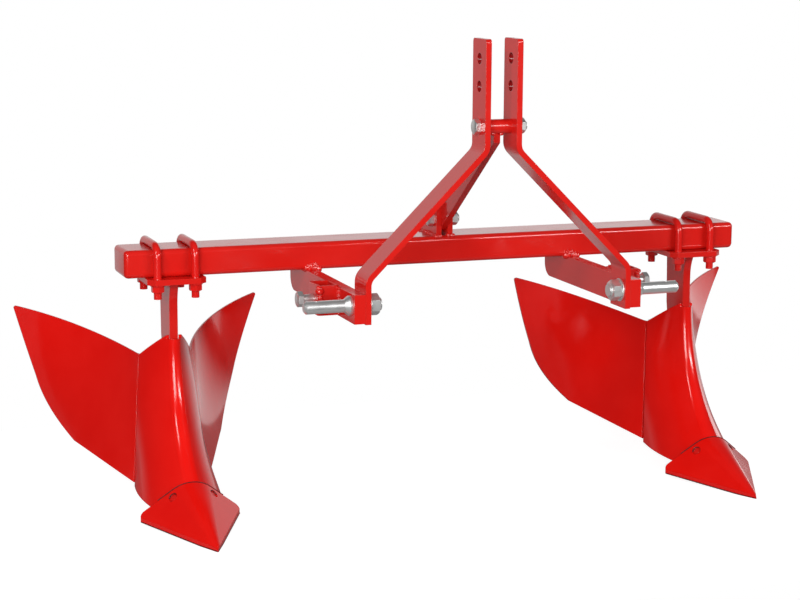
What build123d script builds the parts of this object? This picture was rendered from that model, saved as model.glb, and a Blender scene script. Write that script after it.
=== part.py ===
"""Two-row tractor ridger: two ridging bodies clamped under a toolbar with a three-point hitch.

Millimetres. +Z is up and z = 0 is the ground under the shares and soles. +X runs along the toolbar and
the implement travels towards -Y. Hitch sizes are given from the toolbar's axis. A ridging body is drawn
with its middle at x = 0, its y from the toolbar's axis and its heights from the ground.
"""

from math import acos, atan, atan2, cos, degrees, hypot, pi, radians, sin, sqrt, tan
import os

from build123d import *

os.makedirs("parts", exist_ok=True)

# Toolbar
bar_length = 1200.0
bar_depth = 90.0
bar_height = 50.0
bar_wall = 5.0
bar_corner = 9.0
bar_y = 20.5
bar_z = 447.0
cap_thickness = 8.0
cap_round = 7.5

# Lower hitch arms, stud stubs and check studs
arm_inner_x = 247.0
arm_thickness = 20.0
arm_height = 50.0
arm_front_y = -318.0
arm_rear_y = 58.0
arm_heel_round = 26.0
stub_width = 38.0
stub_depth = 55.0
stub_height = 52.0
stub_wall = 5.0
stud_diameter = 16.0
stud_reach = 20.0
stud_y = -206.0
stud_drop = 22.0

# Lower hitch pins
pin_diameter = 22.0
pin_length = 83.0
pin_y = -295.0
pin_drop = 21.0
pin_tip_chamfer = 4.0
collar_diameter = 34.0
collar_length = 12.0
linch_hole = 10.0
linch_inset = 22.0
pin_nut_flats = 33.0
pin_nut_height = 17.0
pin_thread_tail = 4.0

# Mast
mast_width = 60.0
mast_thickness = 10.0
mast_gap = 48.0
mast_y = -288.0
mast_top = 400.0
mast_bend_height = 211.0
mast_bend_radius = 24.0
mast_tail = 31.0
mast_top_round = 6.0
link_hole = 19.5
link_upper_height = 366.0
link_lower_height = 319.0
mast_bolt_rise = 39.0
mast_bolt_diameter = 16.0
spacer_diameter = 25.0

# Stay and its lugs
stay_width = 46.0
stay_thickness = 12.0
lug_thickness = 10.0
lug_eye_radius = 17.0
lug_base = 84.0
lug_height = 62.0
lug_crown = 16.0
stay_bolt_y = -20.0
stay_bolt_rise = 30.0
stay_bolt_diameter = 16.0

# Clamp of a body
body_inset = 90.0
rod_diameter = 12.0
rod_side_gap = 5.0
rod_pitch = 68.0
rod_bend = 15.0
rod_tail = 14.0
plate_thickness = 10.0
plate_length = 106.0
plate_margin = 15.0
plate_chamfer = 12.0

# Shank
shank_thickness = 15.0
shank_front_y = -30.0
shank_rear_y = 38.0
shank_waist = (21.0, 210.0)
shank_top_front_y = -43.0
shank_top_rear_y = 42.0
shank_flare = 42.0
shank_taper = 103.0
foot_rise = 150.0
foot_knee = (-100.0, 84.0)
heel_y = 4.0
heel_rise = 40.0
toe_inset = 12.0

# Nose
nose_thickness = 4.5
nose_top = 309.0
nose_sweep = 302.5
nose_rake = 51.0
nose_foot_radius = 20.0
nose_top_half_angle = 34.0
nose_foot_half_angle = 40.0
nose_ear_y = -29.0
nose_ear_slope = 33.5
nose_over = 30.0
nose_heel = (-5.0, 35.0)
nose_belly = (-116.0, 25.5)
seam_top = (48.0, 41.0, 269.0)
seam_foot = (69.0, 1.0, 41.0)

# Share and frog
share_thickness = 6.0
share_top = (-152.6, 75.8)
share_tip_y = -327.0
share_tip_rise = 4.0
share_corner = (92.0, -131.5, 16.2)
share_bend_rear = 50.0
share_bend_tip = 8.0
share_corner_round = 5.0
share_lap = 3.0
frog_thickness = 8.0
frog_length = 110.0
frog_half_width = 58.0
frog_clear = 2.0
share_bolt_diameter = 10.0
share_bolt_along = 15.0
share_bolt_x = 37.0
share_bolt_head = 17.0
share_bolt_sink = 4.0

# Wings
wing_thickness = 4.0
wing_top_end = (247.0, 295.0)
wing_foot_end = (204.0, 368.0)
wing_top_sag = 35.0
wing_foot_sag = -8.0
wing_seam_gap = 3.0
wing_brow = (140.0, 302.0)
wing_tip = (237.0, 330.5)
wing_tip_round = 4.0
wing_margin = 4.0
wing_edge_end = (195.0, 190.0)
wing_knee = (169.5, 122.5)
wing_knee_end = (142.5, 80.5)

# Wing hinges and locks, with heights measured down the hinge axis from the seam's top
hinge_set_back = 13.0
hinge_pin_diameter = 8.0
hinge_head_height = 6.0
hinge_drops = (4.0, 150.0)
hinge_tail = 6.0
knuckle_radius = 7.0
knuckle_length = 20.0
leaf_length = 30.0
leaf_start = 4.0
leaf_bite = 0.8
quadrant_drop = 125.0
quadrant_thickness = 8.0
quadrant_margin = 7.0
quadrant_weld = (8.5, 10.0)
slot_radius = 50.0
lock_angle = 34.0
wing_in_angle = 14.0
wing_out_angle = 8.0
bracket_thickness = 6.0
bracket_width = 24.0
lock_bolt_diameter = 10.0

# Fits
slip = 0.3
running = 0.05
bolt_clearance = 0.5
thread_gap = 0.1
washer_thickness = 2.5

# Places that follow from the sizes above
bar_top = bar_z + bar_height / 2
bar_under = bar_z - bar_height / 2
arm_outer_x = arm_inner_x + arm_thickness
mast_lower_x = arm_inner_x - mast_thickness
pin_z = bar_under - pin_drop
stud_z = bar_under - stud_drop
stay_eye_z = bar_top + stay_bolt_rise
plate_under = bar_under - plate_thickness
rod_half_span = bar_depth / 2 + rod_side_gap + rod_diameter / 2
rod_places = [(x, y) for x in (-rod_pitch / 2, rod_pitch / 2) for y in (-rod_half_span, rod_half_span)]
nose_bore_radius = shank_thickness / 2 + slip
nose_hub_y = shank_front_y + sqrt(nose_bore_radius**2 - (shank_thickness / 2) ** 2)
nose_front_y = nose_hub_y - nose_bore_radius - nose_thickness
mast_bolt_z = bar_z + mast_bend_height + mast_bolt_rise
body_spacing = bar_length - 2 * body_inset
sides = (("left", -1), ("right", 1))

# The share's ridge: its direction forward and down, the direction square to it, and the slope of its flanks
ridge_length = hypot(share_tip_y - share_top[0], share_tip_rise - share_top[1])
ridge_way = Vector(0, share_tip_y - share_top[0], share_tip_rise - share_top[1]) / ridge_length
ridge_up = Vector(0, ridge_way.Z, -ridge_way.Y)
ridge_start = Vector(0, *share_top)
share_back = share_thickness + frog_thickness
share_bolt_rim = (share_bolt_head - share_bolt_diameter) / 2 - bolt_clearance
share_bolt_taper = degrees(atan2(share_bolt_rim, share_bolt_sink))
corner_drop = (ridge_start - Vector(share_corner)).dot(ridge_up)
corner_along = (Vector(share_corner) - ridge_start).dot(ridge_way)
bend_change = (share_bend_tip - share_bend_rear) / ridge_length
corner_bend = share_bend_rear + bend_change * corner_along
flank_reach = hypot(share_corner[0], corner_drop - corner_bend)
flank_slope = pi / 2 + atan2(corner_drop - corner_bend, share_corner[0]) - acos(corner_bend / flank_reach)


def ridge_plane(along):
    """The plane square to the share's ridge at a distance along it, with sketch Y square to the ridge."""
    return Plane(origin=ridge_start + ridge_way * along, x_dir=(1, 0, 0), z_dir=ridge_way)


def side_plane(x, y=bar_y):
    """A plane square to the toolbar: sketch X is +Y and sketch Y is the height above ground."""
    return Plane(origin=(x, y, 0), x_dir=(0, 1, 0), z_dir=(1, 0, 0))


def bolt_plane(x, y, z, way=1):
    """A plane at a point y from the toolbar's axis that faces +X or -X, for bolts, pins and nuts."""
    return Plane(origin=(x, bar_y + y, z), x_dir=(0, way, 0), z_dir=(way, 0, 0))


def save(piece, name):
    """Labels a finished piece and writes its STEP file."""
    piece.part.label = name
    export_step(piece.part, f"parts/{name}.step")


def save_on_bodies(piece, name):
    """Writes a piece that was drawn once in both ridging bodies' places."""
    for side, way in sides:
        with BuildPart() as placed:
            with Locations((way * body_spacing / 2, bar_y, 0)):
                add(piece.part)
        save(placed, f"{side}_{name}")


def save_on_wings(piece, name):
    """Writes a piece of the right wing, and its mirror image for the left wing, on both bodies."""
    with BuildPart() as mirrored:
        mirror(piece.part, about=Plane.YZ)
    save_on_bodies(mirrored, f"{name}_left")
    save_on_bodies(piece, f"{name}_right")


def both_hands(piece):
    """A piece together with its mirror image across the middle of the body."""
    with BuildPart() as pair:
        add(piece.part)
        mirror(piece.part, about=Plane.YZ)
    return pair


def hex_flats(diameter):
    """Width across flats of a metric bolt head or nut."""
    return round(1.5 * diameter)


def add_bolt(plane, diameter, length):
    """Adds a hex bolt whose head stands on the plane and whose shank runs down through it."""
    with BuildSketch(plane) as head:
        RegularPolygon(hex_flats(diameter) / 2, 6, major_radius=False)
    extrude(head.sketch, amount=0.62 * diameter)
    with BuildSketch(plane) as body:
        Circle(diameter / 2)
    extrude(body.sketch, amount=-length)


def add_nut(plane, diameter, flats, height):
    """Adds a washer that lies on the plane with a hex nut on top of it."""
    with BuildSketch(plane) as washer:
        Circle(0.62 * flats)
        Circle(diameter / 2 + thread_gap, mode=Mode.SUBTRACT)
    extrude(washer.sketch, amount=washer_thickness)
    with BuildSketch(plane.offset(washer_thickness)) as nut:
        RegularPolygon(flats / 2, 6, major_radius=False)
        Circle(diameter / 2 + thread_gap, mode=Mode.SUBTRACT)
    extrude(nut.sketch, amount=height)


def add_plain_nut(plane, diameter):
    """Adds a washer and a nut of the usual height for the thread."""
    add_nut(plane, diameter, hex_flats(diameter), 0.8 * diameter)


def make_toolbar():
    """The hollow bar that carries everything, and the two caps that close its ends."""
    tube_length = bar_length - 2 * cap_thickness
    with BuildPart() as toolbar:
        with BuildSketch(bolt_plane(0, 0, bar_z)):
            RectangleRounded(bar_depth, bar_height, bar_corner)
            bore = (bar_depth - 2 * bar_wall, bar_height - 2 * bar_wall)
            RectangleRounded(*bore, bar_corner - bar_wall, mode=Mode.SUBTRACT)
        extrude(amount=tube_length / 2, both=True)
    save(toolbar, "toolbar")
    for side, way in sides:
        with BuildPart() as cap:
            with BuildSketch(bolt_plane(way * tube_length / 2, 0, bar_z, way)):
                RectangleRounded(bar_depth, bar_height, bar_corner)
            extrude(amount=cap_thickness)
            fillet(cap.faces().sort_by(Axis.X)[max(way - 1, -1)].edges(), cap_round)
        save(cap, f"end_cap_{side}")


def make_hitch_side(side, way):
    """One lower hitch arm with its stud stub, check stud and hitch pin."""
    arm_under = bar_under - arm_height
    with BuildPart() as arm:
        with BuildSketch(side_plane(way * (arm_inner_x + arm_thickness / 2))):
            with BuildLine():
                heel = Line((arm_rear_y - arm_heel_round, arm_under), (arm_front_y, arm_under))
                back = (arm_rear_y, arm_under + arm_heel_round)
                Polyline(heel @ 1, (arm_front_y, bar_under), (arm_rear_y, bar_under), back)
                TangentArc(heel @ 0, back, tangent=(1, 0))
            make_face()
            with Locations((pin_y, pin_z)):
                Circle(pin_diameter / 2 + bolt_clearance, mode=Mode.SUBTRACT)
        extrude(amount=arm_thickness / 2, both=True)
    save(arm, f"hitch_arm_{side}")

    stub_outer_x = arm_outer_x + stub_width
    with BuildPart() as stub:
        with BuildSketch(Plane(origin=(way * (arm_outer_x + stub_width / 2), bar_y + stud_y, stud_z))):
            RectangleRounded(stub_width, stub_depth, stub_wall)
            Rectangle(stub_width - 2 * stub_wall, stub_depth - 2 * stub_wall, mode=Mode.SUBTRACT)
        extrude(amount=stub_height / 2, both=True)
        with BuildSketch(bolt_plane(way * stub_outer_x, stud_y, stud_z, way)):
            Circle(stud_diameter / 2 + bolt_clearance)
        extrude(amount=-stub_wall, mode=Mode.SUBTRACT)
    save(stub, f"stud_stub_{side}")

    head_x = stub_outer_x + stud_reach
    with BuildPart() as stud:
        stud_length = stud_reach + stub_wall + washer_thickness + 1.1 * stud_diameter
        add_bolt(bolt_plane(way * head_x, stud_y, stud_z, way), stud_diameter, stud_length)
        add_plain_nut(bolt_plane(way * (stub_outer_x - stub_wall), stud_y, stud_z, -way), stud_diameter)
    save(stud, f"check_stud_{side}")

    thread = arm_thickness + mast_thickness + washer_thickness + pin_nut_height + pin_thread_tail
    radius = pin_diameter / 2
    with BuildPart() as pin:
        shoulder = (way * arm_outer_x, bar_y + pin_y, pin_z)
        with BuildSketch(Plane(shoulder, x_dir=(way, 0, 0), z_dir=(0, -way, 0))):
            with BuildLine():
                Polyline(
                    (-thread, 0),
                    (-thread, radius),
                    (0, radius),
                    (0, collar_diameter / 2),
                    (collar_length / 3, collar_diameter / 2),
                    (collar_length, radius),
                    (pin_length - pin_tip_chamfer, radius),
                    (pin_length, radius - pin_tip_chamfer),
                    (pin_length, 0),
                    close=True,
                )
            make_face()
        revolve(axis=Axis((0, bar_y + pin_y, pin_z), (1, 0, 0)))
        linch_x = way * (arm_outer_x + pin_length - linch_inset)
        with BuildSketch(Plane(origin=(linch_x, bar_y + pin_y, pin_z))):
            Circle(linch_hole / 2)
        extrude(amount=pin_diameter, both=True, mode=Mode.SUBTRACT)
    save(pin, f"hitch_pin_{side}")
    with BuildPart() as pin_nut:
        seat = bolt_plane(way * mast_lower_x, pin_y, pin_z, -way)
        add_nut(seat, pin_diameter, pin_nut_flats, pin_nut_height)
    save(pin_nut, f"hitch_pin_nut_{side}")


def make_mast_bar(side, way):
    """One mast bar: flat bar bent twice, from the top-link holes out and down to the hitch pin."""
    upper_x = (mast_gap + mast_thickness) / 2
    lower_x = mast_lower_x + mast_thickness / 2
    bend_z = bar_z + mast_bend_height
    drills = [
        (upper_x, mast_y, bar_z + link_upper_height, link_hole / 2),
        (upper_x, mast_y, bar_z + link_lower_height, link_hole / 2),
        (upper_x, mast_y, mast_bolt_z, mast_bolt_diameter / 2 + bolt_clearance),
        (lower_x, pin_y, pin_z, pin_diameter / 2 + bolt_clearance),
    ]
    with BuildPart() as bar:
        with BuildLine(Plane(origin=(0, bar_y + mast_y, 0), x_dir=(way, 0, 0), z_dir=(0, -way, 0))):
            FilletPolyline(
                (upper_x, bar_z + mast_top),
                (upper_x, bend_z),
                (lower_x, bend_z - lower_x + upper_x),
                (lower_x, pin_z - mast_tail),
                radius=mast_bend_radius,
            )
        with BuildSketch(Plane(origin=(way * upper_x, bar_y + mast_y, bar_z + mast_top))):
            Rectangle(mast_thickness, mast_width)
        sweep()
        fillet(bar.edges().filter_by(Axis.X).group_by(Axis.Z)[-1], mast_top_round)
        for x, y, z, radius in drills:
            with BuildSketch(bolt_plane(way * x, y, z)):
                Circle(radius)
            extrude(amount=mast_thickness, both=True, mode=Mode.SUBTRACT)
    save(bar, f"mast_bar_{side}")


def make_stay():
    """The spacer and bolt that tie the mast bars, and the stay from the spacer down to its lugs."""
    grip = mast_gap / 2 + mast_thickness
    with BuildPart() as spacer:
        with BuildSketch(bolt_plane(0, mast_y, mast_bolt_z)):
            Circle(spacer_diameter / 2)
            Circle(mast_bolt_diameter / 2 + bolt_clearance, mode=Mode.SUBTRACT)
        extrude(amount=mast_gap / 2, both=True)
    save(spacer, "mast_spacer")
    with BuildPart() as mast_bolt:
        mast_bolt_length = 2 * grip + 1.05 * mast_bolt_diameter
        add_bolt(bolt_plane(-grip, mast_y, mast_bolt_z, -1), mast_bolt_diameter, mast_bolt_length)
        add_plain_nut(bolt_plane(grip, mast_y, mast_bolt_z), mast_bolt_diameter)
    save(mast_bolt, "mast_bolt")

    rise = mast_bolt_z - stay_eye_z
    back = stay_bolt_y - mast_y
    with BuildPart() as stay:
        with BuildSketch(side_plane(0)):
            with Locations(((stay_bolt_y + mast_y) / 2, (stay_eye_z + mast_bolt_z) / 2)):
                SlotCenterToCenter(hypot(rise, back), stay_width, rotation=-degrees(atan2(rise, back)))
            with Locations((stay_bolt_y, stay_eye_z)):
                Circle(stay_bolt_diameter / 2 + bolt_clearance, mode=Mode.SUBTRACT)
            with Locations((mast_y, mast_bolt_z)):
                Circle(spacer_diameter / 2, mode=Mode.SUBTRACT)
                Rectangle(stay_width, 2 * stay_width, align=(Align.MAX, Align.CENTER), mode=Mode.SUBTRACT)
                Rectangle(2 * stay_width, stay_width, align=(Align.CENTER, Align.MIN), mode=Mode.SUBTRACT)
        extrude(amount=stay_thickness / 2, both=True)
    save(stay, "mast_stay")

    with BuildPart() as lugs:
        for way in (-1, 1):
            with BuildSketch(side_plane(way * (stay_thickness + lug_thickness) / 2)):
                with BuildLine():
                    foot = Line((lug_base / 2, bar_top), (-lug_base / 2, bar_top))
                    front = Line(foot @ 1, (-lug_base / 2, bar_top + lug_height))
                    Line(front @ 1, (lug_crown - lug_base / 2, bar_top + lug_height))
                    CenterArc((stay_bolt_y, stay_eye_z), lug_eye_radius, 0, 180)
                make_hull()
                with Locations((stay_bolt_y, stay_eye_z)):
                    Circle(stay_bolt_diameter / 2 + bolt_clearance, mode=Mode.SUBTRACT)
            extrude(amount=lug_thickness / 2, both=True)
    save(lugs, "stay_lugs")
    lug_grip = stay_thickness / 2 + lug_thickness
    with BuildPart() as stay_bolt:
        stay_bolt_length = 2 * lug_grip + 1.05 * stay_bolt_diameter
        add_bolt(bolt_plane(-lug_grip, stay_bolt_y, stay_eye_z, -1), stay_bolt_diameter, stay_bolt_length)
        add_plain_nut(bolt_plane(lug_grip, stay_bolt_y, stay_eye_z), stay_bolt_diameter)
    save(stay_bolt, "stay_bolt")


def make_clamp():
    """The plate under the toolbar, the two U-bolts over it, and their washers and nuts."""
    with BuildPart() as plate:
        with BuildSketch(Plane.XY.offset(plate_under)) as outline:
            Rectangle(plate_length, 2 * (rod_half_span + plate_margin))
            chamfer(outline.vertices(), plate_chamfer)
            with Locations(rod_places):
                Circle(rod_diameter / 2 + bolt_clearance, mode=Mode.SUBTRACT)
        extrude(amount=plate_thickness)
    save_on_bodies(plate, "clamp_plate")

    foot_z = plate_under - washer_thickness - 0.8 * rod_diameter - rod_tail
    crown_z = bar_top + slip + rod_diameter / 2
    with BuildPart() as rods:
        for x in (-rod_pitch / 2, rod_pitch / 2):
            with BuildLine(side_plane(x, 0)) as bend:
                FilletPolyline(
                    (-rod_half_span, foot_z),
                    (-rod_half_span, crown_z),
                    (rod_half_span, crown_z),
                    (rod_half_span, foot_z),
                    radius=rod_bend,
                )
            with BuildSketch(Plane(origin=(x, -rod_half_span, foot_z))):
                Circle(rod_diameter / 2)
            sweep(path=bend.wire())
    save_on_bodies(rods, "u_bolts")
    with BuildPart() as nuts:
        for x, y in rod_places:
            add_plain_nut(Plane(origin=(x, y, plate_under), z_dir=(0, 0, -1)), rod_diameter)
    save_on_bodies(nuts, "u_bolt_nuts")


def under_chevron(along, depth):
    """The region a depth under the share's folded outer face, at a place along the ridge."""
    reach = 2 * share_corner[0]
    bend = share_bend_rear + bend_change * along
    radius = bend - depth
    touch = (radius * sin(flank_slope), radius * cos(flank_slope) - bend)
    end = (touch[0] + reach * cos(flank_slope), touch[1] - reach * sin(flank_slope))
    with BuildSketch(ridge_plane(along)) as region:
        with BuildLine():
            crown = ThreePointArc((-touch[0], touch[1]), (0, -depth), touch)
            Polyline(
                crown @ 1,
                end,
                (end[0], end[1] - reach),
                (-end[0], end[1] - reach),
                (-end[0], end[1]),
                crown @ 0,
            )
        make_face()
    return region.sketch


def folded_space(along, depth, length):
    """The two ends of the space a depth under the share's outer face, whose fold tightens towards the tip."""
    return [under_chevron(along, depth), under_chevron(along + length, depth)]


def over_chevron(along, depth, length):
    """The space over the share's folded surface at a depth, used to trim what comes up under it."""
    with BuildPart() as space:
        with BuildSketch(ridge_plane(along)):
            Rectangle(4 * share_corner[0], 4 * share_corner[0])
        extrude(amount=length)
        loft(folded_space(along, depth, length), ruled=True, mode=Mode.SUBTRACT)
    return space.part


def make_share_and_frog():
    """The folded share, the folded frog that backs it, and the countersunk bolts through both."""
    with BuildPart() as plan:
        with BuildSketch() as triangle:
            Polygon((0, share_tip_y), share_corner[:2], (-share_corner[0], share_corner[1]), align=None)
            fillet(triangle.vertices().group_by(Axis.Y)[-1], share_corner_round)
        extrude(amount=bar_z)
    with BuildPart() as share:
        loft(folded_space(0, 0, ridge_length), ruled=True)
        loft(folded_space(0, share_thickness, ridge_length), ruled=True, mode=Mode.SUBTRACT)
        add(plan.part, mode=Mode.INTERSECT)
        cut_share_bolts()
    save_on_bodies(share, "share")

    front_y = (ridge_start + ridge_way * frog_length).Y
    front_x = frog_half_width * (front_y - share_tip_y) / (share_corner[1] - share_tip_y)
    with BuildPart() as frog_plan:
        with BuildSketch(Plane.XY.offset(frog_clear)):
            with BuildLine():
                edge = Line((frog_half_width, share_corner[1]), (front_x, front_y))
                mirror(edge, about=Plane.YZ)
                Line(edge @ 0, (-frog_half_width, share_corner[1]))
                Line(edge @ 1, (-front_x, front_y))
            make_face()
        extrude(amount=bar_z)
    with BuildPart() as frog:
        loft(folded_space(share_lap, share_thickness, frog_length), ruled=True)
        loft(folded_space(share_lap, share_back, frog_length), ruled=True, mode=Mode.SUBTRACT)
        add(frog_plan.part, mode=Mode.INTERSECT)
        cut_share_bolts()
    save_on_bodies(frog, "frog")

    with BuildPart() as bolts:
        for way in (-1, 1):
            face = flank_plane(way)
            with BuildSketch(face) as body:
                Circle(share_bolt_diameter / 2)
            extrude(body.sketch, amount=-(share_back + washer_thickness + share_bolt_diameter))
            with BuildSketch(face) as head:
                Circle(share_bolt_head / 2)
            extrude(head.sketch, amount=-share_bolt_sink, taper=share_bolt_taper)
            add_plain_nut(Plane(face.offset(-share_back).origin, z_dir=-face.z_dir), share_bolt_diameter)
    save_on_bodies(bolts, "share_bolts")


def flank_plane(way):
    """The plane on a flank of the share's outer face at its bolt."""
    crown = 1 / cos(flank_slope) - 1
    bend = share_bend_rear + bend_change * share_bolt_along
    drop = share_bolt_x * tan(flank_slope) - bend * crown
    place = ridge_start + ridge_way * share_bolt_along - ridge_up * drop + Vector(way * share_bolt_x, 0, 0)
    normal = ridge_up + Vector(way * tan(flank_slope), 0, 0) - ridge_way * bend_change * crown
    return Plane(place, x_dir=ridge_way, z_dir=normal.normalized())


def cut_share_bolts():
    """Cuts the two countersunk bolt holes."""
    for way in (-1, 1):
        face = flank_plane(way)
        with BuildSketch(face) as hole:
            Circle(share_bolt_diameter / 2 + bolt_clearance)
        extrude(hole.sketch, amount=-2 * share_back, mode=Mode.SUBTRACT)
        with BuildSketch(face) as sink:
            Circle(share_bolt_head / 2)
        extrude(sink.sketch, amount=-share_bolt_sink, taper=share_bolt_taper, mode=Mode.SUBTRACT)


def make_shank():
    """The profile-cut shank: flared head under the clamp plate, foot that carries the frog, flat sole."""
    throat = ridge_start + ridge_way * share_lap - ridge_up * share_back
    toe = throat + ridge_way * (frog_length - toe_inset) + ridge_up * frog_thickness
    above_foot = over_chevron(share_lap, share_back, frog_length)
    with BuildPart() as shank:
        with BuildSketch(side_plane(0, 0)):
            with BuildLine():
                front = Line((shank_front_y, foot_rise), (shank_front_y, plate_under - shank_flare))
                TangentArc(front @ 1, (shank_top_front_y, plate_under), tangent=front % 1)
                Polyline(
                    (shank_top_front_y, plate_under),
                    (shank_top_rear_y, plate_under),
                    (shank_rear_y, plate_under - shank_taper),
                    shank_waist,
                    (shank_waist[0], heel_rise),
                    (heel_y, 0),
                    (toe.Y, 0),
                    (toe.Y, toe.Z),
                    (throat.Y, throat.Z),
                    foot_knee,
                    front @ 0,
                )
            make_face()
        extrude(amount=shank_thickness / 2, both=True)
        add(above_foot, mode=Mode.SUBTRACT)
    save_on_bodies(shank, "shank")
    return shank


def along_seam(z):
    """The point on the seam between nose and wing at a height, on the right-hand side."""
    part = (seam_top[2] - z) / (seam_top[2] - seam_foot[2])
    return Vector(seam_top) + (Vector(seam_foot) - Vector(seam_top)) * part


def nose_line(z):
    """The nose's front line at a height: upright at the top, swept forward, then straight at its rake."""
    drop = max(nose_top - z, 0)
    bend = min(drop, nose_sweep * sin(radians(nose_rake)))
    forward = nose_sweep - sqrt(nose_sweep**2 - bend**2)
    return nose_front_y - forward - (drop - bend) * tan(radians(nose_rake))


def nose_section(z, inset):
    """Draws the nose's closed outline at a height, set in by the plate's thickness for its inner face."""
    part = (nose_top - z) / (nose_top - seam_foot[2])
    top_radius = nose_bore_radius + nose_thickness
    radius = top_radius + (nose_foot_radius - top_radius) * part
    half_angle = radians(nose_top_half_angle + (nose_foot_half_angle - nose_top_half_angle) * part)
    front = nose_line(z)
    seam = along_seam(z)
    hub = front + radius
    touch = Vector(radius * cos(half_angle), hub - radius * sin(half_angle))
    way = Vector(sin(half_angle), cos(half_angle))
    chord = Vector(seam.X, seam.Y) - touch
    end_angle = 2 * atan2(chord.X, chord.Y) - half_angle
    inner_touch = touch - Vector(cos(half_angle), -sin(half_angle)) * inset
    end = Vector(seam.X, seam.Y) - Vector(cos(end_angle), -sin(end_angle)) * inset
    if inset:
        end = end + Vector(0, inset * sin(abs(end_angle)) + slip)
    with BuildSketch(Plane.XY.offset(z)) as section:
        with BuildLine():
            flank = TangentArc(inner_touch, end, tangent=way)
            ThreePointArc((-inner_touch.X, inner_touch.Y), (0, front + inset), inner_touch)
            mirror(flank, about=Plane.YZ)
            Line(end, (-end.X, end.Y))
        make_face()
    return section.sketch


def make_nose(shank):
    """The prow plate: rounded in front, flaring to both seams, cut to sit on the frog behind the share."""
    level_top = nose_top + nose_over
    levels = [level_top + (nose_belly[1] - level_top) * step / 6 for step in range(7)]
    rear_y = seam_top[1] + 2 * nose_over
    ear = tan(radians(nose_ear_slope))
    with BuildPart() as keep:
        with BuildSketch(side_plane(0, 0)):
            Polygon(
                (rear_y, seam_top[2] - 2 * nose_over * ear),
                (nose_ear_y, seam_top[2] + (seam_top[1] - nose_ear_y) * ear),
                (nose_ear_y, nose_top),
                (share_tip_y, nose_top),
                (share_tip_y, nose_belly[1]),
                nose_belly,
                nose_heel,
                (rear_y, nose_heel[1]),
                align=None,
            )
        extrude(amount=2 * seam_foot[0], both=True)
    with BuildPart() as inside:
        loft([nose_section(z, nose_thickness) for z in levels])
    above_lap = over_chevron(0, share_thickness, share_lap)
    with BuildPart() as nose:
        loft([nose_section(z, 0) for z in levels])
        add(inside.part, mode=Mode.SUBTRACT)
        add(keep.part, mode=Mode.INTERSECT)
        with BuildSketch(ridge_plane(share_lap)):
            Rectangle(4 * share_corner[0], 4 * share_corner[0])
        extrude(amount=ridge_length, mode=Mode.SUBTRACT)
        add(above_lap, mode=Mode.SUBTRACT)
        add(shank.part, mode=Mode.SUBTRACT)
    save_on_bodies(nose, "nose")
    return nose


def wing_bow(z):
    """Start, end and sagitta of the right wing's outer face in plan at a height."""
    part = (seam_top[2] - z) / (seam_top[2] - seam_foot[2])
    start = along_seam(z)
    end = Vector(*wing_top_end, z) + (Vector(*wing_foot_end) - Vector(*wing_top_end)) * part
    return start, end, wing_top_sag + (wing_foot_sag - wing_top_sag) * part


def wing_lead(z):
    """Angle from +Y, in degrees, at which the right wing leaves the seam at a height."""
    start, end, sag = wing_bow(z)
    chord = end - start
    return degrees(atan2(chord.X, chord.Y) - 2 * atan(2 * sag / chord.length))


def wing_section(z):
    """Draws the right wing plate's band in plan at a height, with the seam's gap left at its start."""
    start, end, sag = wing_bow(z)
    chord = end - start
    rear = Vector(-chord.Y, chord.X, 0).normalized()
    radius = chord.length**2 / (8 * sag) + sag / 2
    centre = (start + end) / 2 - rear * (radius - sag)
    lead = radians(wing_lead(z))
    face = [start + Vector(sin(lead), cos(lead), 0) * wing_seam_gap, centre + rear * radius, end]
    back = [centre + (point - centre) * (1 + wing_thickness / radius) for point in face]
    with BuildSketch(Plane.XY.offset(z)) as band:
        with BuildLine():
            outer = ThreePointArc(*[(point.X, point.Y) for point in face])
            inner = ThreePointArc(*[(point.X, point.Y) for point in back])
            Line(outer @ 0, inner @ 0)
            Line(outer @ 1, inner @ 1)
        make_face()
    return band.sketch


def make_wing():
    """The right-hand wing: a plate twisted between two bows and cut to its outline as seen from the front."""
    top, foot = (seam_top[0], seam_top[2]), (seam_foot[0], seam_foot[2])
    with BuildPart() as outline:
        with BuildSketch(Plane.XZ):
            with BuildLine():
                Polyline(wing_knee_end, foot, (0, foot[1]), (0, top[1]), top)
                ThreePointArc(top, wing_brow, wing_tip)
                Line(wing_tip, wing_edge_end)
                ThreePointArc(wing_edge_end, wing_knee, wing_knee_end)
            make_face()
        extrude(amount=wing_foot_end[1], both=True)
        fillet(outline.edges().filter_by(Axis.Y).sort_by(Axis.X)[-1], wing_tip_round)
    with BuildPart() as wing:
        loft([wing_section(z) for z in (seam_foot[2] - wing_margin, wing_tip[1] + wing_margin)], ruled=True)
        add(outline.part, mode=Mode.INTERSECT)
    save_on_wings(wing, "wing")
    return wing


def hinge_point(z):
    """The point of the right hinge's axis behind the seam at a height."""
    lead = radians(wing_lead(z))
    return along_seam(z) + Vector(-cos(lead), sin(lead), 0) * hinge_set_back


def hinge_plane(drop):
    """The plane square to the right hinge, a distance down its axis: sketch Y runs back along the wing."""
    up = (hinge_point(seam_top[2]) - hinge_point(seam_foot[2])).normalized()
    place = hinge_point(seam_top[2]) - up * drop
    lead = radians(wing_lead(place.Z))
    outward = Vector(cos(lead), -sin(lead), 0)
    return Plane(place, x_dir=(outward - up * outward.dot(up)).normalized(), z_dir=up)


def add_knuckle(drop, leaf_from, leaf_to, reach):
    """Adds a hinge knuckle below a place on the axis, with a leaf that reaches into the plate beside it."""
    with BuildSketch(hinge_plane(drop)) as section:
        Circle(knuckle_radius)
        with Locations((0, (leaf_from + leaf_to) / 2)):
            Rectangle(reach, abs(leaf_to - leaf_from), align=(Align.MIN, Align.CENTER))
        Circle(hinge_pin_diameter / 2 + running, mode=Mode.SUBTRACT)
    extrude(section.sketch, amount=-knuckle_length)


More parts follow.
